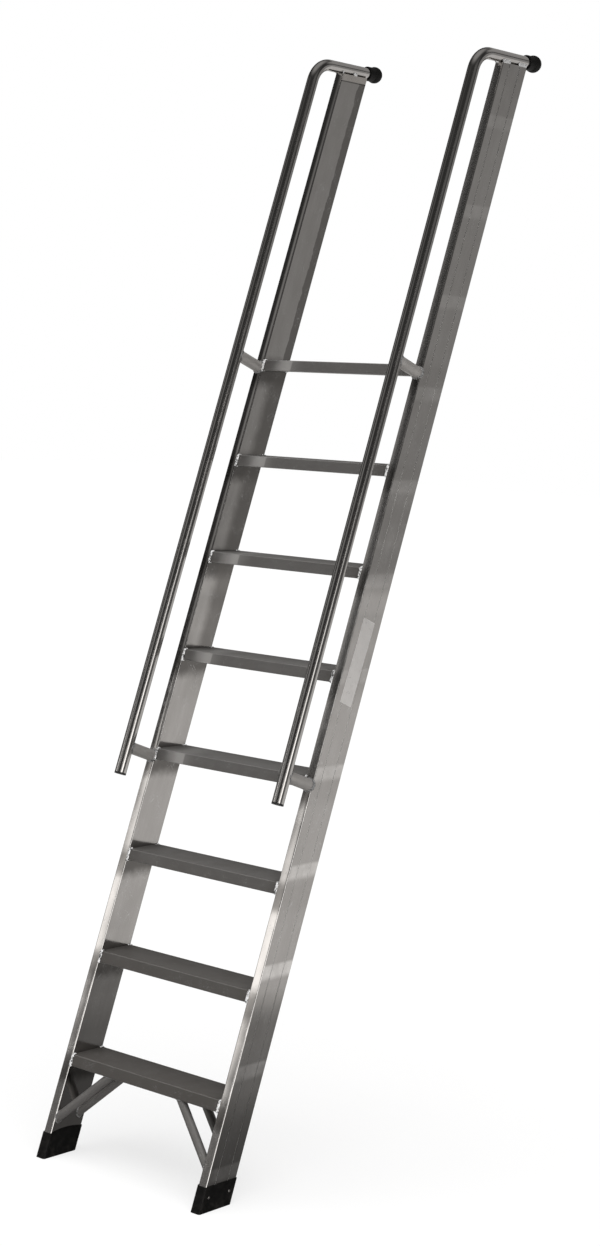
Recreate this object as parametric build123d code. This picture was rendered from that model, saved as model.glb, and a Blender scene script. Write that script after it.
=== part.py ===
from build123d import *
import os
from math import cos, radians, sin, tan

os.makedirs("parts", exist_ok=True)

# A leaning aluminium access ladder: two box-section stiles, eight welded treads and two bent handrails.
# Sizes are in millimetres. X runs to the right, Y runs back and Z runs up from the floor.
# The ladder leans back as it does in use, and the origin is the middle of the left shoe's sole.

# The whole ladder
LEAN = 19.0  # degrees between the stiles and the vertical
CLEAR_WIDTH = 500.0  # between the two stiles
TREAD_RISE = 250.0  # from one tread's top to the next, and from the floor to the first
TREAD_COUNT = 8
FIT_GAP = 0.3  # left between round or pushed-on pieces that seat on each other

# Stiles, an extruded box with two shallow grooves down its outer side
STILE_DEPTH = 100.0
STILE_THICKNESS = 25.0
STILE_WALL = 2.5
STILE_CORNER = 3.0
STILE_INNER_CORNER = 0.5
STILE_TOP_HEIGHT = 2774.5
GROOVE_WIDTH = 1.4
GROOVE_DEPTH = 0.5
GROOVE_PLACES = (29.0, 71.0)  # from the stile's front face
CAP_THICKNESS = 3.0
CAP_EDGE_GAP = 0.15

# Treads, an extruded closed section with one web
TREAD_THICKNESS = 28.0
TREAD_NOSE = 5.0
TREAD_CORNER = 2.0
TREAD_WALL = 2.2
TREAD_WEB = 2.2

# Handrails, one bent tube each side, in front of the stiles
RAIL_DIAMETER = 30.0
RAIL_WALL = 2.0
RAIL_OFFSET = 92.5  # from the stile's front face to the tube's axis
RAIL_BEND_RADIUS = 70.0
RAIL_FOOT_ALONG = 969.0  # up the slope, from the floor to the tube's lower end
RAIL_TAIL = 19.0  # how far the level run goes past the stile's rear top corner

# Tube stubs between stile and handrail
STUB_DIAMETER = 30.0
STUB_WALL = 2.0
STUB_TREADS = {"lower": 4, "upper": 8}
STUB_DROP = 6.0  # from the middle of the tread's front face down to the stub's axis

# Plug in the handrail's lower end
PLUG_FLANGE = 4.0
PLUG_STEM_LENGTH = 18.0

# Rubber buffer on the handrail's rear end
BALL_DIAMETER = 44.0
COLLAR_DIAMETER = 38.0
COLLAR_SETBACK = 8.5  # from the stile's rear top corner to the collar's rim
BALL_SETBACK = 42.5  # from the same corner to the ball's centre
COLLAR_RIM_ROUND = 1.5

# Shoes
SHOE_HEIGHT = 60.0
SHOE_WALL = 2.2
SHOE_SOLE = 10.0
SHOE_ARCH_RISE = 6.0
RIVET_HEIGHT = 34.0
RIVET_PLACES = (16.5, 83.5)  # from the stile's front face
RIVET_HEAD_DIAMETER = 7.0
RIVET_HEAD_RISE = 1.6
RIVET_SHANK_DIAMETER = 4.0
RIVET_TAIL = 2.0

# Braces under the first tread
BRACE_DIAMETER = 22.0
BRACE_WALL = 2.0
BRACE_ANGLE = 45.0  # from the stile towards the tread, seen from the front
BRACE_FOOT_HEIGHT = 98.0  # of the brace's axis where it meets the stile
BRACE_PLACES = {"front": 13.5, "rear": 81.5}  # from the stile's front face

SLOPE_SIN = sin(radians(LEAN))
SLOPE_COS = cos(radians(LEAN))
ALONG = Vector(0, SLOPE_SIN, SLOPE_COS)
INWARD = Vector(0, SLOPE_COS, -SLOPE_SIN)
FRONT_LINE_Y = -STILE_DEPTH / SLOPE_COS / 2
INNER_FACE = STILE_THICKNESS / 2
RIGHT_INNER_FACE = INNER_FACE + CLEAR_WIDTH
MIDDLE = Plane.YZ.offset(INNER_FACE + CLEAR_WIDTH / 2)
REACH = 2 * (STILE_TOP_HEIGHT + CLEAR_WIDTH)  # larger than the ladder each way
FIRST_UNDERSIDE = TREAD_RISE - TREAD_THICKNESS
RAIL_RADIUS = RAIL_DIAMETER / 2
RAIL_RUN_HEIGHT = STILE_TOP_HEIGHT + RAIL_RADIUS + FIT_GAP


def slope_point(x, depth, along):
    """A point by its distance behind the stiles' front faces and its distance up the slope."""
    return Vector(x, FRONT_LINE_Y, 0) + INWARD * depth + ALONG * along


def along_at(height, depth=0.0):
    """How far up the slope a point at this height lies."""
    return (height + depth * SLOPE_SIN) / SLOPE_COS


def front_y(height):
    """Where the stiles' front faces stand at this height."""
    return FRONT_LINE_Y + height * tan(radians(LEAN))


def slope_plane(depth, along=0.0):
    """A plane square to the stiles, with its own X to the right and its own Y from front to rear."""
    return Plane(origin=slope_point(0, depth, along), x_dir=(1, 0, 0), z_dir=ALONG)


def level_slab(low, high):
    """Everything between two heights."""
    return Pos(0, 0, (low + high) / 2) * Box(REACH, REACH, high - low)


def leaning_bar(section, low, high):
    """A section pushed up the slope and cut level at both ends."""
    start = along_at(low) - STILE_DEPTH
    length = along_at(high) + STILE_DEPTH - start
    return extrude(slope_plane(STILE_DEPTH / 2, start) * section, amount=length) & level_slab(low, high)


def tube_between(start, end, diameter, wall):
    """A straight tube with square ends."""
    plane = Plane(origin=start, z_dir=end - start)
    ring = Circle(diameter / 2) - Circle(diameter / 2 - wall)
    return extrude(plane * ring, amount=(end - start).length)


def cross_pin(depth, height, radius, x_from, x_to):
    """A round bar along X through the stile's side at this depth and height."""
    centre = slope_point(0, depth, along_at(height, depth))
    plane = Plane(origin=(x_from, centre.Y, centre.Z), x_dir=(0, 1, 0), z_dir=(1, 0, 0))
    return extrude(plane * Circle(radius), amount=x_to - x_from)


def stile():
    """The left stile, with grooves and rivet holes in its outer side."""
    section = RectangleRounded(STILE_THICKNESS, STILE_DEPTH, STILE_CORNER)
    section -= RectangleRounded(
        STILE_THICKNESS - 2 * STILE_WALL, STILE_DEPTH - 2 * STILE_WALL, STILE_INNER_CORNER
    )
    for place in GROOVE_PLACES:
        groove = Polygon(
            (0, GROOVE_WIDTH / 2), (GROOVE_DEPTH, 0), (0, -GROOVE_WIDTH / 2), align=None
        )
        section -= Pos(-STILE_THICKNESS / 2, place - STILE_DEPTH / 2) * groove
    bar = leaning_bar(section, SHOE_SOLE, STILE_TOP_HEIGHT)
    for place in RIVET_PLACES:
        hole_radius = RIVET_SHANK_DIAMETER / 2 + FIT_GAP
        bar -= cross_pin(place, RIVET_HEIGHT, hole_radius, -STILE_THICKNESS, -STILE_THICKNESS / 4)
    return bar


def stile_cap():
    """The plate welded into the top of the left stile, flush with the level cut."""
    section = RectangleRounded(
        STILE_THICKNESS - 2 * STILE_WALL - 2 * CAP_EDGE_GAP,
        STILE_DEPTH - 2 * STILE_WALL - 2 * CAP_EDGE_GAP,
        STILE_INNER_CORNER,
    )
    return leaning_bar(section, STILE_TOP_HEIGHT - CAP_THICKNESS, STILE_TOP_HEIGHT)


def tread(number):
    """A tread between the stiles: level top and underside, front and rear faces in line with the stiles."""
    top = number * TREAD_RISE
    underside = top - TREAD_THICKNESS
    deep = STILE_DEPTH / SLOPE_COS
    outline = Polygon(
        (front_y(underside), underside),
        (front_y(underside) + deep, underside),
        (front_y(top) + deep, top),
        (front_y(top), top),
        align=None,
    )
    nose = outline.vertices().group_by(Axis.Y)[-1].sort_by(Axis.X)[0]
    other_corners = [corner for corner in outline.vertices() if corner != nose]
    outline = fillet(other_corners, TREAD_CORNER)
    nose = outline.vertices().group_by(Axis.Y)[-1].sort_by(Axis.X)[0]
    outline = fillet(nose, TREAD_NOSE)
    hollow = offset(outline, amount=-TREAD_WALL)
    web = Pos(front_y(top - TREAD_THICKNESS / 2) + deep / 2, top - TREAD_THICKNESS / 2) * Rectangle(
        TREAD_WEB, TREAD_THICKNESS
    )
    section = outline - (hollow - web)
    return extrude(Plane.YZ.offset(INNER_FACE) * section, amount=CLEAR_WIDTH)


def rear_corner_y():
    """Where the stile's rear top corner stands."""
    return front_y(STILE_TOP_HEIGHT) + STILE_DEPTH / SLOPE_COS


def handrail():
    """The left handrail: up the slope, one bend, then level over the stile's top."""
    foot = slope_point(0, -RAIL_OFFSET, RAIL_FOOT_ALONG)
    corner = slope_point(0, -RAIL_OFFSET, along_at(RAIL_RUN_HEIGHT, -RAIL_OFFSET))
    tail = Vector(0, rear_corner_y() + RAIL_TAIL, RAIL_RUN_HEIGHT)
    path = FilletPolyline(foot, corner, tail, radius=RAIL_BEND_RADIUS)
    ring = Circle(RAIL_RADIUS) - Circle(RAIL_RADIUS - RAIL_WALL)
    return sweep(Plane(origin=foot, x_dir=(1, 0, 0), z_dir=ALONG) * ring, path=path)


def rail_stub(tread_number):
    """A tube stub square to the stile, cut round where it meets the handrail."""
    tread_middle = tread_number * TREAD_RISE - TREAD_THICKNESS / 2
    along = along_at(tread_middle) - STUB_DROP
    stub = tube_between(
        slope_point(0, -RAIL_OFFSET, along), slope_point(0, 0, along), STUB_DIAMETER, STUB_WALL
    )
    rail_room = slope_plane(-RAIL_OFFSET, along - STUB_DIAMETER) * Circle(RAIL_RADIUS + FIT_GAP)
    return stub - extrude(rail_room, amount=2 * STUB_DIAMETER)


def rail_plug():
    """The plastic plug in the handrail's lower end: a flange as wide as the tube and a stem inside it."""
    flange = slope_plane(-RAIL_OFFSET, RAIL_FOOT_ALONG - PLUG_FLANGE) * Circle(RAIL_RADIUS)
    stem = slope_plane(-RAIL_OFFSET, RAIL_FOOT_ALONG) * Circle(RAIL_RADIUS - RAIL_WALL - FIT_GAP)
    return extrude(flange, amount=PLUG_FLANGE) + extrude(stem, amount=PLUG_STEM_LENGTH)


def buffer():
    """The rubber ball pushed on the handrail's rear end, with the collar that grips the tube."""
    corner_y = rear_corner_y()
    collar_plane = Plane(
        origin=(0, corner_y + COLLAR_SETBACK, RAIL_RUN_HEIGHT), x_dir=(1, 0, 0), z_dir=(0, 1, 0)
    )
    collar = extrude(
        collar_plane * Circle(COLLAR_DIAMETER / 2), amount=BALL_SETBACK - COLLAR_SETBACK
    )
    rim = collar.edges().sort_by(Axis.Y)[0]
    collar = fillet(rim, COLLAR_RIM_ROUND)
    ball = Pos(0, corner_y + BALL_SETBACK, RAIL_RUN_HEIGHT) * Sphere(BALL_DIAMETER / 2)
    socket = extrude(
        collar_plane * Circle(RAIL_RADIUS + FIT_GAP), amount=RAIL_TAIL - COLLAR_SETBACK + FIT_GAP
    )
    return collar + ball - socket


def shoe():
    """The left shoe: a level-cut boot round the stile's foot, its inner side arched."""
    grow = 2 * (SHOE_WALL + FIT_GAP)
    outer = RectangleRounded(
        STILE_THICKNESS + grow, STILE_DEPTH + grow, STILE_CORNER + SHOE_WALL + FIT_GAP
    )
    room = RectangleRounded(
        STILE_THICKNESS + 2 * FIT_GAP, STILE_DEPTH + 2 * FIT_GAP, STILE_CORNER + FIT_GAP
    )
    body = leaning_bar(outer, 0, SHOE_HEIGHT) - leaning_bar(room, SHOE_SOLE, 2 * SHOE_HEIGHT)
    first = front_y(SHOE_HEIGHT)
    last = first + STILE_DEPTH / SLOPE_COS
    arch_edge = ThreePointArc(
        (first, SHOE_HEIGHT), ((first + last) / 2, SHOE_HEIGHT + SHOE_ARCH_RISE), (last, SHOE_HEIGHT)
    )
    arch = make_face([arch_edge, Line((last, SHOE_HEIGHT), (first, SHOE_HEIGHT))])
    body += extrude(Plane.YZ.offset(INNER_FACE + FIT_GAP) * arch, amount=SHOE_WALL)
    for place in RIVET_PLACES:
        hole_radius = RIVET_SHANK_DIAMETER / 2 + FIT_GAP
        body -= cross_pin(place, RIVET_HEIGHT, hole_radius, -STILE_THICKNESS, -STILE_THICKNESS / 4)
    return body


def shoe_rivets():
    """The two rivets through the left shoe's outer side, each a low dome with a shank and a tail."""
    seat_x = -INNER_FACE - FIT_GAP - SHOE_WALL
    inside_x = -INNER_FACE + STILE_WALL
    dome_radius = (RIVET_HEAD_DIAMETER**2 / 4 + RIVET_HEAD_RISE**2) / (2 * RIVET_HEAD_RISE)
    rivets = []
    for place in RIVET_PLACES:
        head = cross_pin(
            place, RIVET_HEIGHT, RIVET_HEAD_DIAMETER / 2, seat_x - RIVET_HEAD_RISE, seat_x
        )
        centre = slope_point(0, place, along_at(RIVET_HEIGHT, place))
        dome = Pos(seat_x - RIVET_HEAD_RISE + dome_radius, centre.Y, centre.Z) * Sphere(dome_radius)
        shank = cross_pin(
            place, RIVET_HEIGHT, RIVET_SHANK_DIAMETER / 2, seat_x, inside_x + RIVET_TAIL
        )
        rivets.append((head & dome) + shank)
    return Compound(children=rivets)


def brace(place):
    """A left brace from the stile's inner side up to the first tread's underside."""
    foot = slope_point(INNER_FACE, place, along_at(BRACE_FOOT_HEIGHT, place))
    toward = Vector(sin(radians(BRACE_ANGLE)), 0, 0) + ALONG * cos(radians(BRACE_ANGLE))
    longer = 2 * BRACE_DIAMETER
    length = (FIRST_UNDERSIDE - BRACE_FOOT_HEIGHT) / toward.Z
    tube = tube_between(
        foot - toward * longer, foot + toward * (length + longer), BRACE_DIAMETER, BRACE_WALL
    )
    inside = Pos(INNER_FACE + CLEAR_WIDTH / 2, 0, FIRST_UNDERSIDE / 2) * Box(
        CLEAR_WIDTH, REACH, FIRST_UNDERSIDE
    )
    return tube & inside


def on_both_sides(name, shape):
    """The left piece and its mirror image, by name."""
    return {f"{name}_left": shape, f"{name}_right": mirror(shape, about=MIDDLE)}


pieces = {}
pieces |= on_both_sides("stile", stile())
pieces |= on_both_sides("stile_cap", stile_cap())
for number in range(1, TREAD_COUNT + 1):
    pieces[f"tread_{number}"] = tread(number)
pieces |= on_both_sides("handrail", handrail())
for level, tread_number in STUB_TREADS.items():
    pieces |= on_both_sides(f"rail_stub_{level}", rail_stub(tread_number))
pieces |= on_both_sides("rail_plug", rail_plug())
pieces |= on_both_sides("buffer", buffer())
pieces |= on_both_sides("shoe", shoe())
pieces |= on_both_sides("shoe_rivets", shoe_rivets())
for where, place in BRACE_PLACES.items():
    pieces |= on_both_sides(f"brace_{where}", brace(place))

for name, shape in pieces.items():
    export_step(shape, f"parts/{name}.step")
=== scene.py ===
"""Looks of the leaning access ladder: metal finishes, weld beads, light and camera, in metres."""

import random
from math import atan2, cos, pi, radians, sin, sqrt, tan

import bmesh
import bpy
from mathutils import Matrix, Vector


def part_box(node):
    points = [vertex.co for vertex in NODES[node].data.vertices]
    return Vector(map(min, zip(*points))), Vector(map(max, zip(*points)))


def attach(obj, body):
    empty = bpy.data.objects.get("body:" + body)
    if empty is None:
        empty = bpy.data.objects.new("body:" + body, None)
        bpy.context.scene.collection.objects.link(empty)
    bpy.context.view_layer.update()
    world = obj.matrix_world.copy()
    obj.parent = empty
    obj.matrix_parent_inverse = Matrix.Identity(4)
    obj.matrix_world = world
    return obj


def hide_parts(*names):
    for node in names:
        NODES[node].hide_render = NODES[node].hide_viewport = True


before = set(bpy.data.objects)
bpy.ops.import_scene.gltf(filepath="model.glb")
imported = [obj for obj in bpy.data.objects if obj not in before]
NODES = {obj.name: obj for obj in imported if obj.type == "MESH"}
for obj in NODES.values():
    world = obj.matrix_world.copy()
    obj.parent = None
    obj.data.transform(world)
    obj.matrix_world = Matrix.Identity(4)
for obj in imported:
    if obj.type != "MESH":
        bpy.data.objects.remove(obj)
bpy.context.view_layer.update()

BODY = "root"
MM = 0.001
SIDES = ("left", "right")
TREAD_COUNT = sum(name.startswith("tread_") for name in NODES)

# Where the ladder's faces stand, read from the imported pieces
FIRST_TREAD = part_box("tread_1")
LAST_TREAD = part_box(f"tread_{TREAD_COUNT}")
TREAD_RISE = (LAST_TREAD[1].z - FIRST_TREAD[1].z) / (TREAD_COUNT - 1)
TREAD_THICKNESS = FIRST_TREAD[1].z - FIRST_TREAD[0].z
LEAN = atan2(LAST_TREAD[1].y - FIRST_TREAD[1].y, LAST_TREAD[1].z - FIRST_TREAD[1].z)
LEFT_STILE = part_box("stile_left")
RIGHT_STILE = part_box("stile_right")
LEFT_INNER = LEFT_STILE[1].x
RIGHT_INNER = RIGHT_STILE[0].x
MIDDLE_X = (LEFT_INNER + RIGHT_INNER) / 2
HALF_CLEAR = (RIGHT_INNER - LEFT_INNER) / 2
STILE_TOP = LEFT_STILE[1].z
HALF_STILE = (LEFT_STILE[1].x - LEFT_STILE[0].x) / 2
FRONT_LINE_Y = LEFT_STILE[0].y - LEFT_STILE[0].z * sin(LEAN) / cos(LEAN)
STILE_DEPTH = (LEFT_STILE[1].y - FRONT_LINE_Y) * cos(LEAN) - STILE_TOP * sin(LEAN)
ALONG = Vector((0, sin(LEAN), cos(LEAN)))
INWARD = Vector((0, cos(LEAN), -sin(LEAN)))

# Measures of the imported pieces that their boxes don't give
STILE_CORNER = 3 * MM
GROOVE_OFFSET = 21 * MM
RAIL_RADIUS = 15 * MM
RAIL_OFFSET = 92.5 * MM
RAIL_WALL = 2 * MM
RAIL_BEND_RADIUS = 70 * MM
STUB_RADIUS = 15 * MM
STUB_TREADS = (4, 8)
STUB_DROP = 6 * MM
BRACE_RADIUS = 11 * MM
BRACE_LEAN = radians(45)
BRACE_FOOT_HEIGHT = 98 * MM
BRACE_DEPTHS = (13.5 * MM, 81.5 * MM)

# How fine the smooth handrails are
RAIL_BEND_STEPS = 40
RAIL_FACETS = 96

# Width and height of the thinnest weld beads
THIN_BEAD = (4.2 * MM, 1.9 * MM)

# How far from a face a point still counts as on it, and where it no longer does
ON_FACE = 0.2 * MM
OFF_FACE = 0.8 * MM

# Half the width over which the looks of the left and the right side give way to each other
SIDE_BLUR = 50 * MM

# Specular level of the treads and the rubber
DULL_SPECULAR = 0.25


def slope_point(x, depth, along):
    """A point by its distance behind the stiles' front faces and its distance up the slope."""
    return Vector((x, FRONT_LINE_Y, 0)) + INWARD * depth + ALONG * along


def along_at(height, depth=0.0):
    """How far up the slope a point at this height lies."""
    return (height + depth * sin(LEAN)) / cos(LEAN)


def front_y(height):
    """Where the stiles' front faces stand at this height."""
    return FRONT_LINE_Y + height * sin(LEAN) / cos(LEAN)


# Shader nodes in short calls


def feed(tree, socket, value):
    """Links an output to a socket, or sets the socket to a plain value."""
    if isinstance(value, bpy.types.NodeSocket):
        tree.links.new(value, socket)
    else:
        socket.default_value = value


def add_node(tree, kind, inputs, **settings):
    """A new node with its settings, and its inputs by name or number."""
    node = tree.nodes.new(kind)
    for name, value in settings.items():
        setattr(node, name, value)
    for key, value in inputs.items():
        feed(tree, node.inputs[key], value)
    return node


def maths(tree, operation, *values):
    """One Math node over numbers and sockets."""
    return add_node(tree, "ShaderNodeMath", dict(enumerate(values)), operation=operation).outputs[0]


def smooth_step(tree, value, low, high):
    """0 where the value is at low, 1 where it is at high, smooth between."""
    inputs = {"Value": value, "From Min": low, "From Max": high}
    node = add_node(tree, "ShaderNodeMapRange", inputs, interpolation_type="SMOOTHSTEP")
    return node.outputs["Result"]


def blend(tree, mask, first, second):
    """The first colour where the mask is 0, the second where it is 1."""
    inputs = {0: mask, 6: first, 7: second}
    return add_node(tree, "ShaderNodeMix", inputs, data_type="RGBA").outputs[2]


def between(tree, mask, low, high):
    """A number from low to high by the mask."""
    return maths(tree, "MULTIPLY_ADD", mask, high - low, low)


def product(tree, *values):
    """The values multiplied together."""
    total = values[0]
    for value in values[1:]:
        total = maths(tree, "MULTIPLY", total, value)
    return total


def summed(tree, terms, start=0.0):
    """A start and the sum of masks, each times its weight."""
    total = start
    for mask, weight in terms:
        total = maths(tree, "MULTIPLY_ADD", mask, weight, total)
    return total


def apart(tree, value, centre):
    """How far a value is from a centre, either way."""
    return maths(tree, "ABSOLUTE", maths(tree, "SUBTRACT", value, centre))


def noise(tree, vector, scale, detail=3.0, roughness=0.55):
    """Noise from 0 to 1 over a vector."""
    inputs = {"Vector": vector, "Scale": scale, "Detail": detail, "Roughness": roughness}
    return add_node(tree, "ShaderNodeTexNoise", inputs).outputs["Fac"]


def stretched(tree, vector, scales):
    """The vector with each of its parts scaled."""
    node = add_node(tree, "ShaderNodeVectorMath", {0: vector, 1: scales}, operation="MULTIPLY")
    return node.outputs[0]


def joined(tree, x, y, z):
    """A vector from its three parts."""
    return add_node(tree, "ShaderNodeCombineXYZ", {0: x, 1: y, 2: z}).outputs[0]


def grey(value, warmth=0.0):
    """A linear grey, a little warm or cool."""
    return (value * (1 + warmth), value, value * (1 - warmth), 1.0)


def effect_group(name, inputs, outputs):
    """A new shader node group, with its input node's outputs and its output node's inputs."""
    group = bpy.data.node_groups.new(name, "ShaderNodeTree")
    for socket_name, default in inputs.items():
        kind = "NodeSocketVector" if isinstance(default, tuple) else "NodeSocketFloat"
        socket = group.interface.new_socket(name=socket_name, in_out="INPUT", socket_type=kind)
        socket.default_value = default
    for socket_name, kind in outputs.items():
        group.interface.new_socket(name=socket_name, in_out="OUTPUT", socket_type=kind)
    given = group.nodes.new("NodeGroupInput").outputs
    result = group.nodes.new("NodeGroupOutput").inputs
    return group, given, result


def effect(tree, group, inputs):
    """The outputs of one copy of an effect group, with this material's values."""
    return add_node(tree, "ShaderNodeGroup", inputs, node_tree=group).outputs


# Effects that several finishes share


def make_place_group():
    """Where a point is on the ladder: across, behind the front faces and above the floor.

    Up Slope and Sideways are the same place as vectors, with the slope or the width as third part.
    """
    group, _, result = effect_group(
        "place_on_ladder",
        {},
        {
            "Across": "NodeSocketFloat",
            "Depth": "NodeSocketFloat",
            "Height": "NodeSocketFloat",
            "Up Slope": "NodeSocketVector",
            "Sideways": "NodeSocketVector",
        },
    )
    place = group.nodes.new("ShaderNodeTexCoord").outputs["Object"]
    x, y, z = add_node(group, "ShaderNodeSeparateXYZ", {0: place}).outputs
    behind = maths(group, "SUBTRACT", y, FRONT_LINE_Y)
    depth = summed(group, ((behind, cos(LEAN)), (z, -sin(LEAN))))
    along = summed(group, ((behind, sin(LEAN)), (z, cos(LEAN))))
    feed(group, result["Across"], x)
    feed(group, result["Depth"], depth)
    feed(group, result["Height"], z)
    feed(group, result["Up Slope"], joined(group, x, depth, along))
    feed(group, result["Sideways"], joined(group, depth, along, x))
    return group


def make_drawn_lines_group():
    """Fine lines and broad streaks along a vector's third part, as on drawn or extruded metal."""
    group, given, result = effect_group(
        "drawn_lines",
        {"Vector": (0.0, 0.0, 0.0), "Fineness": 900.0},
        {"Lines": "NodeSocketFloat", "Streaks": "NodeSocketFloat"},
    )
    long_way = stretched(group, given["Vector"], (1.0, 1.0, 0.006))
    feed(group, result["Lines"], noise(group, long_way, given["Fineness"], detail=2.0))
    broad = product(group, given["Fineness"], 0.09)
    feed(group, result["Streaks"], noise(group, long_way, broad, detail=4.0, roughness=0.6))
    return group


def make_handling_group():
    """Cloudy smudges from hands and cloths, and a few thin scratches."""
    group, given, result = effect_group(
        "handling_marks",
        {"Vector": (0.0, 0.0, 0.0), "Scratch Share": 0.5},
        {"Smudges": "NodeSocketFloat", "Scratches": "NodeSocketFloat"},
    )
    clouds = noise(group, given["Vector"], 14.0, detail=5.0, roughness=0.6)
    feed(group, result["Smudges"], smooth_step(group, clouds, 0.38, 0.66))
    scratched = []
    for turn, fineness in ((0.5, 260.0), (-0.9, 190.0)):
        turned = add_node(
            group,
            "ShaderNodeVectorRotate",
            {"Vector": given["Vector"], "Axis": (1.0, 0.3, 0.1), "Angle": turn},
            rotation_type="AXIS_ANGLE",
        ).outputs[0]
        drawn_out = stretched(group, turned, (fineness, fineness, 9.0))
        field = noise(group, drawn_out, 1.0, detail=0.0)
        scratched.append(smooth_step(group, apart(group, field, 0.5), 0.012, 0.003))
    either = maths(group, "MAXIMUM", *scratched)
    patches = smooth_step(group, noise(group, given["Vector"], 30.0, detail=1.0), 0.5, 0.62)
    feed(group, result["Scratches"], product(group, either, patches, given["Scratch Share"]))
    return group


def make_edge_brightening_group():
    """Edge brightening within a width, broken up along it: wear, and a painted highlight on the
    stiles.
    """
    group, given, result = effect_group(
        "edge_brightening",
        {"Vector": (0.0, 0.0, 0.0), "Distance": 0.01, "Width": 0.002},
        {"Brightening": "NodeSocketFloat"},
    )
    ragged = between(group, noise(group, given["Vector"], 160.0), 0.3, 1.7)
    share = maths(group, "DIVIDE", given["Distance"], product(group, given["Width"], ragged))
    feed(group, result["Brightening"], smooth_step(group, share, 1.0, 0.45))
    return group


def make_joint_group():
    """How near a height on the stiles is to a tread's weld, and how the wall is pulled there."""
    group, given, result = effect_group(
        "pulled_at_joints",
        {"Height": 0.0, "Vector": (0.0, 0.0, 0.0)},
        {"Near": "NodeSocketFloat", "Bulge": "NodeSocketFloat"},
    )
    first_joint = TREAD_RISE - TREAD_THICKNESS - 6 * MM
    past_first = maths(group, "SUBTRACT", given["Height"], first_joint)
    steps = maths(group, "DIVIDE", past_first, TREAD_RISE)
    not_below = maths(group, "MAXIMUM", maths(group, "ROUND", steps), 0.0)
    nearest = maths(group, "MINIMUM", not_below, TREAD_COUNT - 1.0)
    above = product(group, maths(group, "SUBTRACT", steps, nearest), TREAD_RISE)
    wander = between(group, noise(group, given["Vector"], 40.0, detail=2.0), -10 * MM, 10 * MM)
    distance = maths(group, "ABSOLUTE", maths(group, "ADD", above, wander))
    feed(group, result["Near"], smooth_step(group, distance, 50 * MM, 14 * MM))
    bulge = smooth_step(group, maths(group, "ABSOLUTE", above), 85 * MM, 0.0)
    feed(group, result["Bulge"], bulge)
    return group


def make_painted_reflection_bands_group():
    """Painted reflection: thin level bands at an even pitch, crisp above, soft below and fainter
    higher up.
    """
    group, given, result = effect_group(
        "painted_reflection_bands",
        {"Height": 0.0, "Vector": (0.0, 0.0, 0.0)},
        {"Reflection Bands": "NodeSocketFloat"},
    )
    pitch, first, half = 231 * MM, 314 * MM, 14 * MM
    steps = maths(group, "DIVIDE", maths(group, "SUBTRACT", given["Height"], first), pitch)
    off_band = maths(group, "SUBTRACT", steps, maths(group, "ROUND", steps))
    above = product(group, off_band, pitch)
    band_mask = product(
        group,
        smooth_step(group, above, half + 5 * MM, half - 4 * MM),
        smooth_step(group, above, -half - 12 * MM, -half + 4 * MM),
        between(group, noise(group, given["Vector"], 34.0, detail=2.0), 0.1, 1.3),
        between(group, smooth_step(group, given["Height"], 1.3, 0.5), 0.3, 0.9),
    )
    feed(group, result["Reflection Bands"], band_mask)
    return group


def make_dust_group():
    """Patchy pale floor dust that thins out up to a reach."""
    group, given, result = effect_group(
        "floor_dust",
        {"Vector": (0.0, 0.0, 0.0), "Height": 0.0, "Reach": 0.08},
        {"Dust": "NodeSocketFloat"},
    )
    low = smooth_step(group, given["Height"], given["Reach"], 0.0)
    clouds = smooth_step(group, noise(group, given["Vector"], 60.0, detail=6.0), 0.4, 0.75)
    feed(group, result["Dust"], product(group, low, clouds))
    return group


PLACE = make_place_group()
DRAWN_LINES = make_drawn_lines_group()
HANDLING = make_handling_group()
EDGE_BRIGHTENING = make_edge_brightening_group()
JOINTS = make_joint_group()
PAINTED_REFLECTION_BANDS = make_painted_reflection_bands_group()
FLOOR_DUST = make_dust_group()


# Finishes


def new_finish(name, metallic=1.0):
    """A material with one principled shader: its tree, its surface and where its points are."""
    material = bpy.data.materials.new(name)
    material.use_nodes = True
    tree = material.node_tree
    surface = tree.nodes["Principled BSDF"]
    surface.inputs["Metallic"].default_value = metallic
    return material, tree, surface, effect(tree, PLACE, {})


def dress(tree, surface, colour, roughness, relief):
    """Feeds a colour, a roughness and a relief in metres to the surface."""
    feed(tree, surface.inputs["Base Color"], colour)
    feed(tree, surface.inputs["Roughness"], roughness)
    bump = add_node(tree, "ShaderNodeBump", {"Height": relief, "Strength": 1.0, "Distance": 1.0})
    feed(tree, surface.inputs["Normal"], bump.outputs[0])


def layered(tree, colour, layers):
    """A colour under layers of mask, strength and colour, the last on top."""
    for mask, strength, over in layers:
        colour = blend(tree, between(tree, mask, 0.0, strength), colour, over)
    return colour


def from_narrow_face(tree, at):
    """How far a point is from the nearer of the stiles' front and rear faces."""
    to_rear = maths(tree, "SUBTRACT", STILE_DEPTH, at["Depth"])
    return maths(tree, "ABSOLUTE", maths(tree, "MINIMUM", at["Depth"], to_rear))


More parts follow.
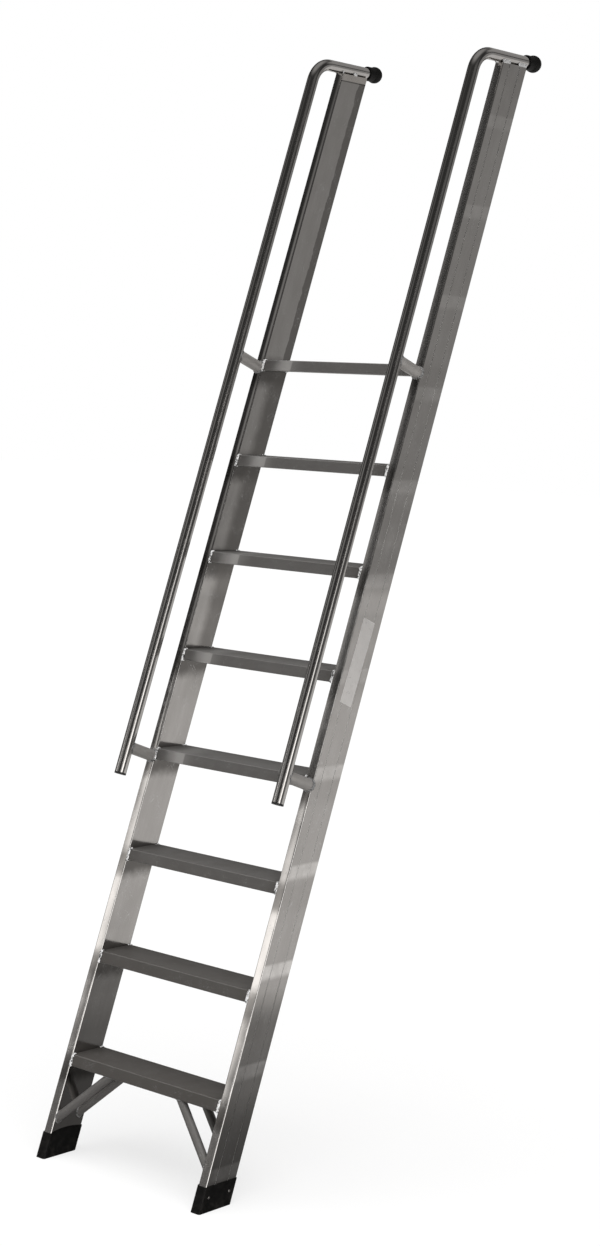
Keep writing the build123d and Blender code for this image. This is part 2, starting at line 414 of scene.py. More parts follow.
def stile_finish():
    """Mill-finish extrusion with dished fronts, pulled and darkened a little at its joints.

    The painted reflection bands and the grooves' painted shade are on the outer side. Painted shade
    under each tread, the painted rear shade, and a bright band at the top with a dark line under it
    are on the inner side. The narrow faces have painted shade near each joint, and the wide faces'
    edges are brightened, as wear and as a painted highlight. The right stile's narrow faces are
    duller above.
    """
    material, tree, surface, at = new_finish("stile_mill_aluminium")
    slope, up = at["Up Slope"], at["Height"]
    drawn = effect(tree, DRAWN_LINES, {"Vector": slope, "Fineness": 1400.0})
    handled = effect(tree, HANDLING, {"Vector": slope, "Scratch Share": 0.6})
    joint = effect(tree, JOINTS, {"Height": up, "Vector": slope})
    painted_bands = effect(tree, PAINTED_REFLECTION_BANDS, {"Height": up, "Vector": slope})
    edge_distance = from_narrow_face(tree, at)
    brightened_edge = effect(tree, EDGE_BRIGHTENING, {"Vector": slope, "Distance": edge_distance, "Width": 2.2 * MM})
    off_middle = apart(tree, at["Across"], MIDDLE_X)
    off_centre = maths(tree, "SUBTRACT", off_middle, HALF_CLEAR + HALF_STILE)
    on_outer = smooth_step(tree, off_centre, HALF_STILE - OFF_FACE, HALF_STILE - ON_FACE)
    on_inner = smooth_step(tree, off_centre, OFF_FACE - HALF_STILE, ON_FACE - HALF_STILE)
    on_narrow = smooth_step(tree, edge_distance, OFF_FACE, ON_FACE)
    on_wide = between(tree, on_narrow, 1.0, 0.0)

    # Painted shade in the outer side's grooves, dark and strong low down, lighter and fainter
    # higher up
    groove_distance = apart(tree, apart(tree, at["Depth"], STILE_DEPTH / 2), GROOVE_OFFSET)
    in_groove = product(tree, smooth_step(tree, groove_distance, 1.4 * MM, 1.0 * MM), on_outer)
    groove_height = smooth_step(tree, up, 0.3, 0.75)
    groove_tone = between(tree, groove_height, 0.05, 0.3)
    groove_colour = joined(tree, groove_tone, groove_tone, groove_tone)
    groove_share = between(tree, groove_height, 0.92, 0.4)

    wavy = between(tree, noise(tree, slope, 34.0), -7 * MM, 7 * MM)
    past_last_tread = smooth_step(tree, up, LAST_TREAD[1].z - 20 * MM, LAST_TREAD[1].z)
    shade_start = between(tree, past_last_tread, 46 * MM, 71 * MM)
    shade_blur = between(tree, past_last_tread, 36 * MM, 3 * MM)
    past_start = maths(tree, "SUBTRACT", maths(tree, "ADD", at["Depth"], wavy), shade_start)
    at_rear = smooth_step(tree, maths(tree, "DIVIDE", past_start, shade_blur), -0.5, 0.5)
    rear_shade = product(tree, at_rear, smooth_step(tree, up, 1.08, 1.32), on_inner)

    # A bright band along the inner side's top, and a dark line just under it
    below_top = maths(tree, "SUBTRACT", STILE_TOP, up)
    top_band = product(tree, smooth_step(tree, below_top, 18.5 * MM, 17 * MM), on_inner)
    line_under_band_distance = apart(tree, below_top, 19.5 * MM)
    line_under_band = product(tree, smooth_step(tree, line_under_band_distance, 2.2 * MM, 0.8 * MM), on_inner)

    clouds = noise(tree, stretched(tree, slope, (1.0, 1.0, 0.35)), 22.0, detail=4.0)
    metal = layered(
        tree,
        blend(tree, drawn["Streaks"], grey(0.5, 0.03), grey(0.6, 0.025)),
        (
            (between(tree, clouds, -0.1, 0.8), 1.0, grey(0.4, 0.04)),
            # Painted shade on the narrow faces near each tread, a little darkening at every joint,
            # and a painted shadow under each tread on the inner side
            (product(tree, joint["Near"], on_narrow), 0.8, grey(0.1, 0.06)),
            (joint["Near"], 0.15, grey(0.33, 0.05)),
            (product(tree, joint["Near"], on_inner), 0.8, grey(0.1, 0.06)),
            (rear_shade, 0.8, grey(0.2, 0.05)),
            # Painted reflection: bright level bands on the outer side
            (product(tree, painted_bands["Reflection Bands"], on_outer), 1.0, grey(0.95, 0.02)),
            (top_band, 1.0, grey(0.92, 0.05)),
            # Wear and a painted highlight along the edges of the wide faces
            (product(tree, brightened_edge["Brightening"], on_wide), 0.5, grey(0.74, 0.01)),
            (handled["Scratches"], 1.0, grey(0.72)),
            (line_under_band, 0.7, grey(0.1, 0.05)),
            (product(tree, in_groove, groove_share), 1.0, groove_colour),
        ),
    )

    dulled = product(
        tree,
        on_narrow,
        smooth_step(tree, at["Across"], MIDDLE_X - SIDE_BLUR, MIDDLE_X + SIDE_BLUR),
        smooth_step(tree, up, 1.0, 1.15),
        between(tree, smooth_step(tree, up, 1.4, 2.0), 0.19, 0.08),
        between(tree, smooth_step(tree, off_centre, -HALF_STILE, HALF_STILE), 1.0, 0.5),
    )
    feed(tree, surface.inputs["Metallic"], between(tree, dulled, 1.0, 0.0))

    rougher = summed(
        tree,
        (
            (handled["Smudges"], 0.05),
            (joint["Near"], 0.06),
            (drawn["Streaks"], 0.03),
            (top_band, 0.15),
            (in_groove, 0.3),
        ),
    )
    rougher = product(tree, rougher, between(tree, on_narrow, 1.0, 0.4))
    roughness = maths(tree, "ADD", rougher, 0.09)

    waves = noise(tree, stretched(tree, slope, (1.0, 1.0, 0.4)), 16.0, detail=1.0)
    dish_curve, dish_tilt = 6.5, -0.05
    off_squared = product(tree, off_centre, off_centre)
    dish = summed(tree, ((off_squared, dish_curve), (off_centre, dish_tilt)))
    dish_share = between(tree, smooth_step(tree, up, 0.85, 1.15), 0.2, 1.0)
    relief = summed(
        tree,
        (
            (drawn["Lines"], 0.001 * MM),
            (product(tree, waves, between(tree, on_narrow, 1.0, 0.3)), 0.5 * MM),
            (product(tree, joint["Bulge"], between(tree, on_narrow, 1.0, 0.35)), 1.2 * MM),
            (product(tree, dish, dish_share), 1.0),
            (handled["Scratches"], -0.02 * MM),
        ),
    )
    dress(tree, surface, metal, roughness, relief)
    return material


def tread_finish():
    """Dull extrusion along X, darker on the lower treads and sooty at its ends.

    Its front and rear faces have painted shade, and so do the undercuts at its weld corners. The
    upper treads have a painted reflection near their left ends.
    """
    material, tree, surface, at = new_finish("tread_satin_aluminium", 0.45)
    lengthwise, up = at["Sideways"], at["Height"]
    drawn = effect(tree, DRAWN_LINES, {"Vector": lengthwise, "Fineness": 1300.0})
    handled = effect(tree, HANDLING, {"Vector": lengthwise, "Scratch Share": 0.7})
    edge_distance = from_narrow_face(tree, at)
    brightened_edge = effect(
        tree, EDGE_BRIGHTENING, {"Vector": lengthwise, "Distance": edge_distance, "Width": 1.8 * MM}
    )
    on_narrow = smooth_step(tree, edge_distance, OFF_FACE, ON_FACE)
    top_wear = product(tree, brightened_edge["Brightening"], between(tree, on_narrow, 1.0, 0.0))

    from_end = maths(tree, "SUBTRACT", HALF_CLEAR, apart(tree, at["Across"], MIDDLE_X))
    ragged = between(tree, noise(tree, lengthwise, 30.0), -12 * MM, 12 * MM)
    from_ragged_end = maths(tree, "ADD", from_end, ragged)
    crisp_patch = product(tree, smooth_step(tree, from_end, 104 * MM, 96 * MM), on_narrow)
    soft_patch = between(tree, smooth_step(tree, from_ragged_end, 140 * MM, 80 * MM), 0.0, 0.4)
    # Painted reflection near the left ends of the upper treads
    painted_end_reflection = product(
        tree,
        smooth_step(tree, from_ragged_end, 25 * MM, 85 * MM),
        maths(tree, "MAXIMUM", crisp_patch, soft_patch),
        smooth_step(tree, up, 0.7, 1.0),
        smooth_step(tree, at["Across"], MIDDLE_X + SIDE_BLUR, MIDDLE_X - SIDE_BLUR),
    )
    # Painted shade in the undercuts at the tread's corners beside the end welds
    weld_corner_shade = product(
        tree,
        smooth_step(tree, from_end, 9 * MM, 5 * MM),
        smooth_step(tree, edge_distance, 14 * MM, 9 * MM),
    )
    metal = layered(
        tree,
        blend(tree, drawn["Streaks"], grey(0.16, 0.04), grey(0.19, 0.03)),
        (
            (handled["Smudges"], 0.4, grey(0.14, 0.05)),
            (smooth_step(tree, up, 1.0, 0.3), 0.8, grey(0.095, 0.09)),
            # Painted shade: the front and rear faces darker than the tops and undersides
            (on_narrow, 0.3, grey(0.05, 0.06)),
            (painted_end_reflection, 0.75, grey(0.42, 0.03)),
            (smooth_step(tree, from_ragged_end, 50 * MM, 6 * MM), 0.4, grey(0.08, 0.08)),
            (top_wear, 0.35, grey(0.4, 0.02)),
            (handled["Scratches"], 0.4, grey(0.35)),
            (weld_corner_shade, 0.9, grey(0.02, 0.1)),
        ),
    )
    roughness = summed(
        tree, ((handled["Smudges"], 0.06), (painted_end_reflection, -0.06), (top_wear, -0.06)), start=0.46
    )
    waves = noise(tree, stretched(tree, lengthwise, (1.0, 1.0, 0.3)), 14.0, detail=1.0)
    relief = summed(
        tree,
        (
            (drawn["Lines"], 0.004 * MM),
            (waves, 0.2 * MM),
            (handled["Scratches"], -0.01 * MM),
        ),
    )
    surface.inputs["Specular IOR Level"].default_value = DULL_SPECULAR
    dress(tree, surface, metal, roughness, relief)
    return material


def tube_finish(name, tone):
    """Dull mill-finish tube of this tone, for the stubs and the braces.

    The braces' darker tone is painted shade.
    """
    material, tree, surface, at = new_finish(name, 0.45)
    slope = at["Up Slope"]
    handled = effect(tree, HANDLING, {"Vector": slope, "Scratch Share": 0.6})
    clouds = noise(tree, slope, 45.0, detail=4.0)
    fine = noise(tree, slope, 700.0, detail=2.0)
    metal = blend(tree, clouds, grey(tone * 0.9, 0.05), grey(tone * 1.15, 0.04))
    metal = layered(tree, metal, ((handled["Scratches"], 0.7, grey(0.45)),))
    roughness = summed(tree, ((handled["Smudges"], 0.08), (clouds, 0.06)), start=0.42)
    relief = summed(tree, ((fine, 0.005 * MM), (clouds, 0.1 * MM)))
    dress(tree, surface, metal, roughness, relief)
    return material


def rail_finish():
    """Polished tube of the handrails, with faint drawing lines and hand marks."""
    material, tree, surface, at = new_finish("handrail_polished_aluminium")
    slope = at["Up Slope"]
    drawn = effect(tree, DRAWN_LINES, {"Vector": slope, "Fineness": 1800.0})
    handled = effect(tree, HANDLING, {"Vector": slope, "Scratch Share": 0.4})
    metal = blend(tree, drawn["Streaks"], grey(0.5, 0.03), grey(0.62, 0.02))
    metal = layered(tree, metal, ((handled["Smudges"], 0.3, grey(0.42, 0.04)),))
    roughness = summed(tree, ((handled["Smudges"], 0.05), (drawn["Streaks"], 0.03)), start=0.11)
    waves = noise(tree, stretched(tree, slope, (1.0, 1.0, 0.25)), 30.0, detail=1.0)
    relief = summed(tree, ((drawn["Lines"], 0.0006 * MM), (waves, 0.06 * MM)))
    dress(tree, surface, metal, roughness, relief)
    return material


def weld_finish(name, bright, sooted):
    """Weld metal this bright, broken up by this much soot."""
    material, tree, surface, at = new_finish(name, 0.3)
    slope = at["Up Slope"]
    clouds = noise(tree, slope, 260.0)
    fine = noise(tree, slope, 1500.0, detail=2.0)
    soot = product(tree, smooth_step(tree, clouds, 0.47, 0.6), sooted)
    metal = blend(tree, soot, grey(bright), grey(0.05, 0.04))
    relief = summed(tree, ((fine, 0.02 * MM), (clouds, 0.6 * MM)))
    dress(tree, surface, metal, between(tree, soot, 0.28, 0.5), relief)
    return material


def rubber_finish(name, dust_reach):
    """Matt black rubber with a fine moulded grain and floor dust."""
    material, tree, surface, at = new_finish(name, 0.0)
    slope = at["Up Slope"]
    dust = effect(
        tree, FLOOR_DUST, {"Vector": slope, "Height": at["Height"], "Reach": dust_reach}
    )
    clouds = noise(tree, slope, 80.0, detail=5.0)
    grain = noise(tree, slope, 2200.0, detail=2.0)
    rubber = blend(tree, clouds, grey(0.002, 0.05), grey(0.005, 0.05))
    rubber = layered(tree, rubber, ((dust["Dust"], 0.06, grey(0.2, 0.12)),))
    relief = summed(tree, ((grain, 0.03 * MM), (clouds, 0.1 * MM)))
    surface.inputs["Specular IOR Level"].default_value = DULL_SPECULAR
    dress(tree, surface, rubber, between(tree, clouds, 0.5, 0.66), relief)
    return material


def plug_finish():
    """Black moulded plastic, a little shinier than the rubber."""
    material, tree, surface, at = new_finish("plug_black_plastic", 0.0)
    clouds = noise(tree, at["Up Slope"], 120.0, detail=4.0)
    grain = noise(tree, at["Up Slope"], 2600.0, detail=2.0)
    plastic = blend(tree, clouds, grey(0.006, 0.03), grey(0.018, 0.03))
    relief = product(tree, grain, 0.02 * MM)
    dress(tree, surface, plastic, between(tree, clouds, 0.34, 0.5), relief)
    return material


def rivet_finish():
    """Dull rivet metal, cloudy with dirt."""
    material, tree, surface, at = new_finish("rivet_dull_steel")
    clouds = noise(tree, at["Up Slope"], 400.0, detail=4.0)
    metal = blend(tree, clouds, grey(0.4, 0.05), grey(0.7, 0.03))
    relief = product(tree, clouds, 0.1 * MM)
    dress(tree, surface, metal, between(tree, clouds, 0.35, 0.5), relief)
    return material


def strip_finish():
    """Blank pale film, smudged and scuffed."""
    material, tree, surface, at = new_finish("blank_strip_film", 0.9)
    handled = effect(tree, HANDLING, {"Vector": at["Up Slope"], "Scratch Share": 1.0})
    film = blend(tree, handled["Smudges"], grey(0.82, 0.02), grey(0.9, 0.02))
    film = blend(tree, handled["Scratches"], film, grey(0.5, 0.02))
    relief = product(tree, noise(tree, at["Up Slope"], 60.0), 0.1 * MM)
    dress(tree, surface, film, between(tree, handled["Smudges"], 0.28, 0.45), relief)
    return material


SOOTY_WELD = weld_finish("weld_sooty_aluminium", 0.95, 1.0)
CLEAN_WELD = weld_finish("weld_clean_aluminium", 0.6, 0.4)
DULL_WELD = weld_finish("weld_dull_aluminium", 0.26, 0.8)
STRIP_FINISH = strip_finish()
NODE_FINISHES = {
    "stile": stile_finish(),
    "tread": tread_finish(),
    "handrail": rail_finish(),
    "rail_stub": tube_finish("stub_tube_aluminium", 0.33),
    # Painted shade: the braces are the stubs' tube, given a darker tone
    "brace": tube_finish("brace_tube_shaded_aluminium", 0.16),
    "rail_plug": plug_finish(),
    "buffer": rubber_finish("buffer_black_rubber", 0.001),
    "shoe": rubber_finish("shoe_black_rubber", 0.09),
    "shoe_rivets": rivet_finish(),
}


def finish_nodes():
    """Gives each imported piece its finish, by the longest matching start of its name."""
    for name, piece in NODES.items():
        kind = max((start for start in NODE_FINISHES if name.startswith(start)), key=len)
        for slot in piece.material_slots:
            slot.material = NODE_FINISHES[kind]


def new_piece(name, shape, material):
    """A scene object from a gathered mesh, which is freed."""
    data = bpy.data.meshes.new(name)
    shape.to_mesh(data)
    shape.free()
    data.materials.append(material)
    piece = bpy.data.objects.new(name, data)
    bpy.context.collection.objects.link(piece)
    return piece


def ring_pairs(ring):
    """Each vertex of a closed ring with the next one."""
    return zip(ring, ring[1:] + ring[:1])


def join_rings(shape, ring, following):
    """Faces between two closed rings of as many vertices."""
    for (start, end), (far_start, far_end) in zip(ring_pairs(ring), ring_pairs(following)):
        shape.faces.new((start, far_start, far_end, end))


# Handrails as fine smooth tubes, since their polish would show a coarse mesh


def rail_centre_line(name):
    """Points and directions along a handrail's middle line, with its bend in fine steps."""
    low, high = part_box(name)
    x = (low.x + high.x) / 2
    foot_height = low.z + RAIL_RADIUS * sin(LEAN)
    foot = slope_point(x, -RAIL_OFFSET, along_at(foot_height, -RAIL_OFFSET))
    run_height = high.z - RAIL_RADIUS
    corner = foot + ALONG * (run_height - foot.z) / ALONG.z
    bend_angle = pi / 2 - LEAN
    tangent = RAIL_BEND_RADIUS * tan(bend_angle / 2)
    centre = corner - ALONG * tangent + INWARD * RAIL_BEND_RADIUS
    line = [(foot, ALONG)]
    for step in range(RAIL_BEND_STEPS + 1):
        turn = bend_angle * step / RAIL_BEND_STEPS
        heading = ALONG * cos(turn) + INWARD * sin(turn)
        outward = ALONG * sin(turn) - INWARD * cos(turn)
        line.append((centre + outward * RAIL_BEND_RADIUS, heading))
    line.append((Vector((x, high.y, run_height)), Vector((0, 1, 0))))
    return line


def smooth_handrail(name):
    """A tube with a wall along the handrail's middle line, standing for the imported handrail."""
    line = rail_centre_line(name)
    shape = bmesh.new()
    across = Vector((1, 0, 0))
    skins = []
    for radius in (RAIL_RADIUS, RAIL_RADIUS - RAIL_WALL):
        rings = []
        for point, heading in line:
            side = heading.cross(across)
            ring = []
            for step in range(RAIL_FACETS):
                angle = 2 * pi * (step + 0.5) / RAIL_FACETS
                radial = across * cos(angle) + side * sin(angle)
                ring.append(shape.verts.new(point + radial * radius))
            rings.append(ring)
        skins.append(rings)
    for rings in skins:
        for ring, following in zip(rings, rings[1:]):
            join_rings(shape, ring, following)
    for end in (0, -1):
        join_rings(shape, skins[0][end], skins[1][end])
        for rings in skins:
            for pair in ring_pairs(rings[end]):
                shape.edges.get(pair).smooth = False
    bmesh.ops.recalc_face_normals(shape, faces=shape.faces)
    for face in shape.faces:
        face.smooth = True
    piece = new_piece(f"smooth_{name}", shape, NODE_FINISHES["handrail"])
    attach(piece, BODY)
    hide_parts(name)


# Weld beads


class BeadMesh:
    """A mesh that gathers rippled weld beads.

    A bead's size sways along its length and is uneven from ring to ring, and its ends are rounded.
    """

    RING = 10
    STEP = 0.5 * MM
    RIPPLE_PITCH = 2.6 * MM
    RIPPLE_HEIGHT = 0.16
    RIPPLE_CURVE = 0.3
    SWAY = 0.07
    SWAY_LENGTH = 7 * MM
    UNEVENNESS = 0.02
    END_STEP = 0.4 * STEP

    def __init__(self, name, seed):
        self.name = name
        self.mesh = bmesh.new()
        self.random = random.Random(seed)

    def add(self, stations, width, height, closed=False):
        """A bead along stations of point and outward, this wide and this high over their line."""
        stations = self.resampled(stations, closed)
        count = len(stations)
        reach = self.STEP * count
        phase = self.random.uniform(0, 2 * pi)
        rings = []
        for index, (point, outward) in enumerate(stations):
            before = stations[index - 1 if closed or index else 0][0]
            after = stations[(index + 1) % count if closed or index + 1 < count else index][0]
            tangent = (after - before).normalized()
            outward = (outward - tangent * outward.dot(tangent)).normalized()
            side = tangent.cross(outward)
            travelled = index * self.STEP
            sway = self.SWAY * sin(travelled / self.SWAY_LENGTH + phase)
            size = 1 + sway + self.random.uniform(-self.UNEVENNESS, self.UNEVENNESS)
            if not closed:
                to_end = min(travelled, reach - travelled - self.STEP) + self.END_STEP
                size *= sqrt(1 - (1 - min(1, to_end / (width / 2))) ** 2)
            ring = []
            for step in range(self.RING):
                angle = 2 * pi * step / self.RING
                wave = (travelled / self.RIPPLE_PITCH + self.RIPPLE_CURVE * cos(angle)) % 1
                swell = size * (1 + self.RIPPLE_HEIGHT * (1 - wave) ** 2)
                offset = outward * cos(angle) * height + side * sin(angle) * width / 2
                ring.append(self.mesh.verts.new(point + offset * swell))
            rings.append(ring)
        for ring, following in zip(rings, rings[1:] + rings[:1] if closed else rings[1:]):
            join_rings(self.mesh, ring, following)
        if not closed:
            self.mesh.faces.new(rings[0])
            self.mesh.faces.new(reversed(rings[-1]))

    def resampled(self, stations, closed):
        """The stations spaced evenly, about a step apart."""
        loop = stations + stations[:1] if closed else stations
        lengths = [(end[0] - start[0]).length for start, end in zip(loop, loop[1:])]
        count = max(4, round(sum(lengths) / self.STEP))
        last = count if closed else count - 1
        even = []
        part = 0
        passed = 0.0
        for index in range(count):
            wanted = sum(lengths) * index / last
            while part < len(lengths) - 1 and passed + lengths[part] < wanted:
                passed += lengths[part]
                part += 1
            share = min(1.0, (wanted - passed) / lengths[part])
            (start, first_out), (end, last_out) = loop[part], loop[part + 1]
            even.append((start.lerp(end, share), first_out.lerp(last_out, share)))
        return even

    def place(self, finish):
        """Makes the gathered beads one piece of weld metal."""
        bmesh.ops.recalc_face_normals(self.mesh, faces=self.mesh.faces)
        piece = new_piece(self.name, self.mesh, finish)
        piece.data.shade_smooth()
        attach(piece, BODY)


def mirrored(stations, side):
    """Stations made for the left side, or their mirror image for the right."""
    if side == "left":
        return stations
    flip = Vector((-1, 1, 1))
    shift = Vector((2 * MIDDLE_X, 0, 0))
    return [(point * flip + shift, outward * flip) for point, outward in stations]


def tube_meets_plane(point, axis, radius, face_point, face_normal):
    """Stations where a tube's outside meets a flat face, leaning out of the corner between them."""
    axis = axis.normalized()
    first = axis.orthogonal().normalized()
    second = axis.cross(first)
    steps = 48
    stations = []
    for step in range(steps):
        angle = 2 * pi * step / steps
        radial = first * cos(angle) + second * sin(angle)
        start = point + radial * radius
        travel = (face_point - start).dot(face_normal) / axis.dot(face_normal)
        stations.append((start + axis * travel, (radial + face_normal).normalized()))
    return stations


def tread_end_welds():
    """A bead round the front and the rear corner of each tread's ends."""
    beads = BeadMesh("tread_end_welds", 11)
    bead_width, bead_height = 7.6 * MM, 1.9 * MM
    hook, bend, corner, dip, straight = 11 * MM, 4 * MM, 0.6 * MM, 0.4 * MM, 3 * MM
    joint_x = LEFT_INNER + 1.8 * MM
    away = Vector((1, 0, 0))
    up = Vector((0, 0, 1))
    for number in range(1, TREAD_COUNT + 1):
        top = FIRST_TREAD[1].z + (number - 1) * TREAD_RISE
        underside = top - TREAD_THICKNESS
        for outward, depth, back in ((-INWARD, 0.0, 1), (INWARD, STILE_DEPTH / cos(LEAN), -1)):
            top_y = front_y(top) + depth
            low_y = front_y(underside) + depth
            face_top, face_foot = top - straight, underside + straight
            line = (
                (top_y + hook * back, top, away * 0.6 + up),
                (top_y + bend * back, top, away * 0.5 + up),
                (top_y + corner * back, top - dip, outward + up),
                (front_y(face_top) + depth, face_top, outward),
                (front_y(face_foot) + depth, face_foot, outward),
                (low_y + corner * back, underside + dip, outward - up),
                (low_y + bend * back, underside, away * 0.5 - up),
                (low_y + hook * back, underside, away * 0.6 - up),
            )
            stations = [(Vector((joint_x, y, z)), leaning) for y, z, leaning in line]
            for side in SIDES:
                beads.add(mirrored(stations, side), bead_width, bead_height)
    beads.place(SOOTY_WELD)


def stub_welds():
    """Rings where the rail stubs meet the stiles, and saddles where they meet the handrails."""
    beads = BeadMesh("rail_stub_welds", 23)
    ring_width, ring_height = 7 * MM, 3 * MM
    corner_share, saddle_lean, side_depth = 0.8, 0.8, 0.02
    saddle_steps = 64
    flat_half = HALF_STILE - STILE_CORNER
    for number in STUB_TREADS:
        tread_middle = FIRST_TREAD[1].z + (number - 1) * TREAD_RISE - TREAD_THICKNESS / 2
        along = along_at(tread_middle) - STUB_DROP
        foot = slope_point(0, 0, along)
        rail_middle = slope_point(0, -RAIL_OFFSET, along)
        ring = []
        for point, outward in tube_meets_plane(foot, INWARD, STUB_RADIUS, foot, -INWARD):
            past = min(STILE_CORNER, max(0.0, abs(point.x) - flat_half))
            fall = STILE_CORNER - sqrt(STILE_CORNER**2 - past**2)
            ring.append((point + INWARD * fall * corner_share, outward))
        saddle = []
        for step in range(saddle_steps):
            angle = 2 * pi * step / saddle_steps
            radial = Vector((1, 0, 0)) * sin(angle) + ALONG * cos(angle)
            depth = RAIL_RADIUS * sqrt(cos(angle) ** 2 + side_depth)
            point = rail_middle + radial * STUB_RADIUS + INWARD * depth
            saddle.append((point, radial + INWARD * saddle_lean))
        for side in SIDES:
            beads.add(mirrored(ring, side), ring_width, ring_height, closed=True)
            beads.add(mirrored(saddle, side), *THIN_BEAD, closed=True)
    beads.place(DULL_WELD)


def brace_welds():
    """Rings where the braces meet the stiles and the first tread's underside."""
    beads = BeadMesh("brace_welds", 37)
    sideways = Vector((1, 0, 0))
    downward = Vector((0, 0, -1))
    toward = sideways * sin(BRACE_LEAN) + ALONG * cos(BRACE_LEAN)
    underside = Vector((0, 0, FIRST_TREAD[0].z))
    for depth in BRACE_DEPTHS:
        foot = slope_point(LEFT_INNER, depth, along_at(BRACE_FOOT_HEIGHT, depth))
        for face_point, face_normal in ((foot, sideways), (underside, downward)):
            ring = tube_meets_plane(foot, toward, BRACE_RADIUS, face_point, face_normal)
            for side in SIDES:
                beads.add(mirrored(ring, side), *THIN_BEAD, closed=True)
    beads.place(DULL_WELD)


def rail_top_welds():
    """Stitches between each handrail and its stile's top, two outside and two inside."""
    beads = BeadMesh("rail_top_welds", 41)
    bead_width, bead_height = 9 * MM, 2 * MM
    start_y = front_y(STILE_TOP)
    reach_y = STILE_DEPTH / cos(LEAN)
    height = STILE_TOP + 3.2 * MM
    outer = ((0.0, 0.31), (0.64, 0.98))
    inner = ((0.0, 0.04), (0.44, 0.58))
    for spans, way in ((outer, -1), (inner, 1)):
        x = (HALF_STILE + 0.2 * MM) * way
        outward = Vector((way, 0, -0.15))
        for span in spans:
            ends = [Vector((x, start_y + reach_y * share, height)) for share in span]
            stations = [(end, outward) for end in ends]
            for side in SIDES:
                beads.add(mirrored(stations, side), bead_width, bead_height)
    beads.place(CLEAN_WELD)


def blank_strip():
    """A blank film strip stuck to the right stile's outer side."""
    length, width, corner = 217 * MM, 47 * MM, 3 * MM
    middle_along, middle_depth, turn = 1359.5 * MM, 47.3 * MM, radians(2.0)
    lift, thickness = 0.05 * MM, 0.25 * MM
    corner_steps = 6
    face_x = RIGHT_STILE[1].x
    shape = bmesh.new()
    stuck, raised = [], []
    for side_along, side_depth, start in ((1, 1, 0), (-1, 1, 1), (-1, -1, 2), (1, -1, 3)):
        for step in range(corner_steps + 1):
            angle = (start + step / corner_steps) * pi / 2
            along = side_along * (length / 2 - corner) + corner * cos(angle)
            depth = side_depth * (width / 2 - corner) + corner * sin(angle)
            turned_along = along * cos(turn) - depth * sin(turn)
            turned_depth = along * sin(turn) + depth * cos(turn)
            point = slope_point(face_x, middle_depth + turned_depth, middle_along + turned_along)
            point += Vector((lift, 0, 0))
            stuck.append(shape.verts.new(point))
            raised.append(shape.verts.new(point + Vector((thickness, 0, 0))))
    shape.faces.new(stuck)
    shape.faces.new(raised)
    join_rings(shape, stuck, raised)
    bmesh.ops.recalc_face_normals(shape, faces=shape.faces)
    piece = new_piece("blank_strip", shape, STRIP_FINISH)
    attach(piece, BODY)


finish_nodes()
for side in SIDES:
    smooth_handrail(f"handrail_{side}")
tread_end_welds()
stub_welds()
brace_welds()
rail_top_welds()
blank_strip()


# Floor, light and camera


def mixed_shader(tree, share, first, second):
    """The first shader where the share is 0, the second where it is 1."""
    return add_node(tree, "ShaderNodeMixShader", {0: share, 1: first, 2: second}).outputs[0]


def floor_finish():
    """Nearly white to the camera, and to mirrors a glow that is darker near the ladder."""
    material = bpy.data.materials.new("pale_floor")
    material.use_nodes = True
    tree = material.node_tree
    surface = tree.nodes["Principled BSDF"]
    surface.inputs["Roughness"].default_value = 0.9
    surface.inputs["Specular IOR Level"].default_value = 0.0
    surface.inputs["Base Color"].default_value = grey(0.88)
    position = tree.nodes.new("ShaderNodeNewGeometry").outputs["Position"]
    from_ladder = add_node(
        tree,
        "ShaderNodeVectorMath",
        {0: position, 1: (MIDDLE_X, 0.1, 0.0)},
        operation="DISTANCE",
    ).outputs["Value"]
    glow_steps = (
        (smooth_step(tree, from_ladder, 0.3, 1.6), 0.16),
        (smooth_step(tree, from_ladder, 1.7, 2.2), 0.4),
        (smooth_step(tree, from_ladder, 12.0, 24.0), -0.34),
    )
    mirrored_light = summed(tree, glow_steps, start=0.08)
    glow = add_node(
        tree, "ShaderNodeEmission", {"Color": grey(1.0, 0.02), "Strength": mirrored_light}
    ).outputs[0]
    white = add_node(tree, "ShaderNodeEmission", {"Color": grey(1.0), "Strength": 1.0}).outputs[0]
    path = tree.nodes.new("ShaderNodeLightPath").outputs
    whitened = product(tree, path["Is Camera Ray"], 0.72)
    pale = mixed_shader(tree, whitened, surface.outputs[0], white)
    mixed = mixed_shader(tree, path["Is Glossy Ray"], pale, glow)
    feed(tree, tree.nodes["Material Output"].inputs["Surface"], mixed)
    return material


def pale_floor():
    """A wide level floor under the ladder."""
    span = 40.0
    shape = bmesh.new()
    corners = ((-span, -span), (span, -span), (span, span), (-span, span))
    shape.faces.new([shape.verts.new((x, y, 0)) for x, y in corners])
    floor = new_piece("pale_floor", shape, floor_finish())


# Soft patches of light in the room, in degrees but for the strength that ends each row:
# heading from +Y to +X, height above the horizon, width, height of the patch, blur
ROOM_PATCHES = (
    (-152, 16.1, 30, 5.8, 0.7, 1.4),
    (-152, 15.6, 30, 1.2, 0.6, 0.8),
    (-130, 15.0, 14, 4.8, 0.7, 1.25),
    (-130, 14.8, 14, 1.2, 0.6, 0.8),
    (-110, 21, 20, 18, 4, 0.24),
    (-140, 8, 44, 12, 3, 0.14),
    (-163, 27, 26, 16, 11, 0.28),
    (128, 6, 50, 20, 4, 2.3),
    (38, 3, 22, 16, 5, 0.28),
    (76, -2, 26, 10, 5, 0.1),
    (0, 0, 50, 12, 5, 0.26),
    (-43, 12, 50, 26, 8, 0.2),
    (5, 32, 70, 24, 6, 0.3),
    (-92, 4, 24, 12, 5, 0.1),
    (90, 22, 44, 30, 12, 0.09),
)


def within(tree, distance, size, blur):
    """1 where a distance in radians is under half a size in degrees, 0 beyond, blurred."""
    return smooth_step(tree, distance, radians(size / 2 + blur), radians(size / 2 - blur))


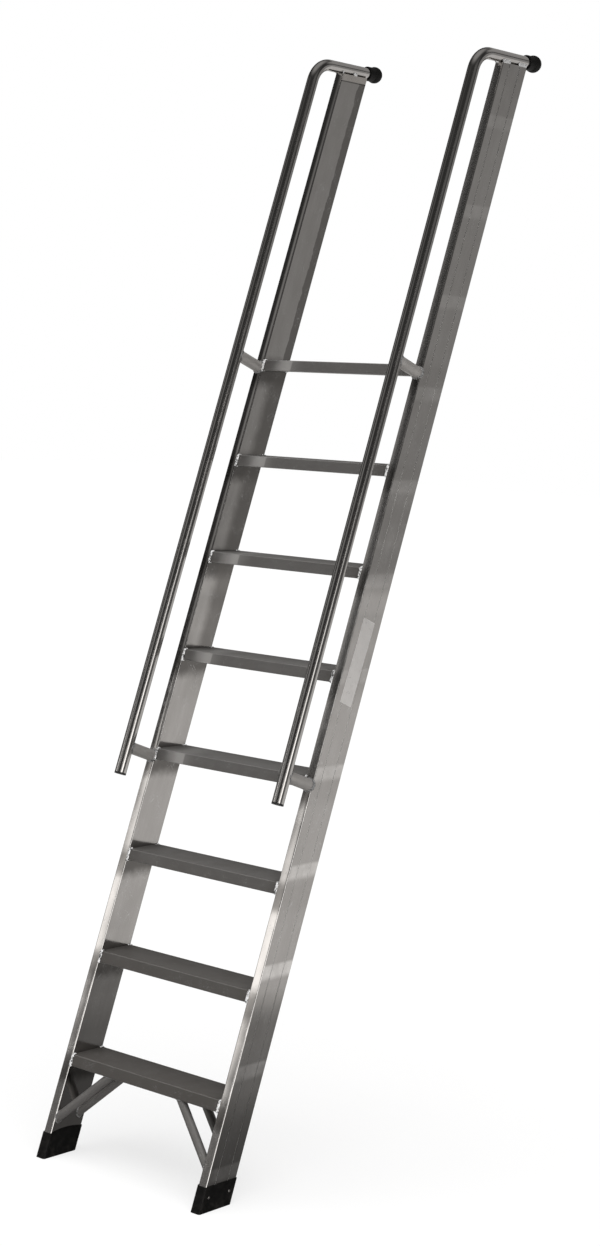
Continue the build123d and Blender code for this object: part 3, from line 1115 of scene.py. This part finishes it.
def room_light():
    """White to the camera, and to all else a dim grey room with soft patches of light."""
    low_light, ceiling_light = 0.038, 0.34
    ceiling_start, ceiling_full = radians(40), radians(75)
    world = bpy.data.worlds.new("studio_room")
    world.use_nodes = True
    bpy.context.scene.world = world
    tree = world.node_tree
    direction = tree.nodes.new("ShaderNodeTexCoord").outputs["Generated"]
    x, y, z = add_node(tree, "ShaderNodeSeparateXYZ", {0: direction}).outputs
    up = maths(tree, "ARCSINE", z)
    towards = maths(tree, "ARCTAN2", x, y)
    upper = smooth_step(tree, up, ceiling_start, ceiling_full)
    light = between(tree, upper, low_light, ceiling_light)
    for heading, rise, wide, high, blur, strength in ROOM_PATCHES:
        turn = maths(tree, "SUBTRACT", towards, radians(heading))
        off_side = maths(tree, "ABSOLUTE", maths(tree, "WRAP", turn, pi, -pi))
        off_rise = apart(tree, up, radians(rise))
        inside = product(
            tree, within(tree, off_side, wide, blur), within(tree, off_rise, high, blur)
        )
        light = maths(tree, "MULTIPLY_ADD", inside, strength, light)
    seen = tree.nodes["Background"]
    seen.inputs["Color"].default_value = grey(1.0)
    room = add_node(tree, "ShaderNodeBackground", {"Color": grey(1.0, 0.02), "Strength": light})
    is_camera = tree.nodes.new("ShaderNodeLightPath").outputs["Is Camera Ray"]
    mixed = mixed_shader(tree, is_camera, room.outputs[0], seen.outputs[0])
    feed(tree, tree.nodes["World Output"].inputs["Surface"], mixed)


def overhead_light():
    """A broad light from above that no reflection shows."""
    data = bpy.data.lights.new("overhead_light", "SUN")
    data.energy = 3.4
    data.angle = radians(70)
    lamp = bpy.data.objects.new("overhead_light", data)
    lamp.rotation_euler = (radians(12), radians(8), 0)
    lamp.visible_glossy = False
    bpy.context.collection.objects.link(lamp)


def photo_camera():
    """The camera at the photograph's place, heading and lens."""
    photo_height = 1246
    focal_pixels = 2301.463
    place = Vector((4.02583, -3.92059, 1.90030))
    heading, tilt, roll = radians(-40.178), radians(-5.537), radians(2.716)
    forward = Vector((sin(heading) * cos(tilt), cos(heading) * cos(tilt), sin(tilt)))
    right = Vector((cos(heading), -sin(heading), 0))
    up = right.cross(forward)
    rolled_right = right * cos(roll) + up * sin(roll)
    rolled_up = up * cos(roll) - right * sin(roll)
    turn = Matrix((rolled_right, rolled_up, -forward)).transposed()
    data = bpy.data.cameras.new("photo_camera")
    data.sensor_width = 36.0
    data.sensor_fit = "AUTO"
    data.lens = focal_pixels / photo_height * data.sensor_width
    data.clip_end = 200.0
    camera = bpy.data.objects.new("photo_camera", data)
    camera.matrix_world = Matrix.Translation(place) @ turn.to_4x4()
    bpy.context.collection.objects.link(camera)
    bpy.context.scene.camera = camera


pale_floor()
room_light()
overhead_light()
photo_camera()
bpy.context.scene.view_settings.view_transform = "Standard"
